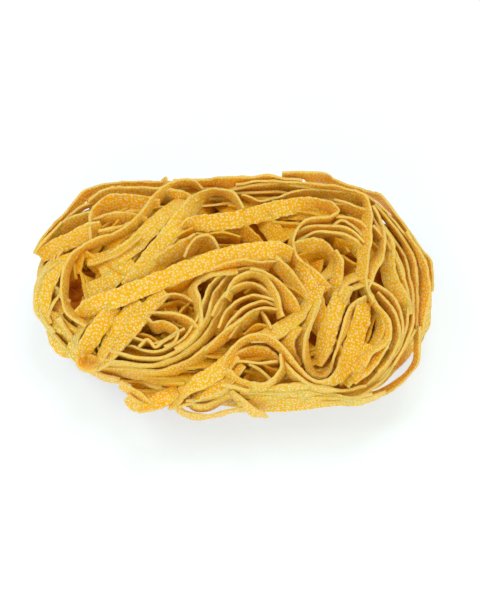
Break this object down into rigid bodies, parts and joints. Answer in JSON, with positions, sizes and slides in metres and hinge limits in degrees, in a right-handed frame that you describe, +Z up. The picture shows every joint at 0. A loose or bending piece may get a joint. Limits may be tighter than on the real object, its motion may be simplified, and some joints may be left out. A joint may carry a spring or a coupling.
{
  "type": "dry pasta nest",
  "caption": "Oblong nest of long flat dry egg noodles, folded and wound into one loose heap that rests flat on a surface.",
  "frame": {"origin": "centre of the nest's box on the surface that it rests on", "axes": "+Z up, +X along the nest's longer side, -Y towards the side that the picture was taken from"},
  "size_m": [0.1212, 0.0782, 0.0365],
  "materials": {
    "pasta": "matt dry egg pasta, floury, with pale specks"
  },
  "bodies": {
    "root": {"pasta_nest": "pasta"}
  },
  "joints": []
}
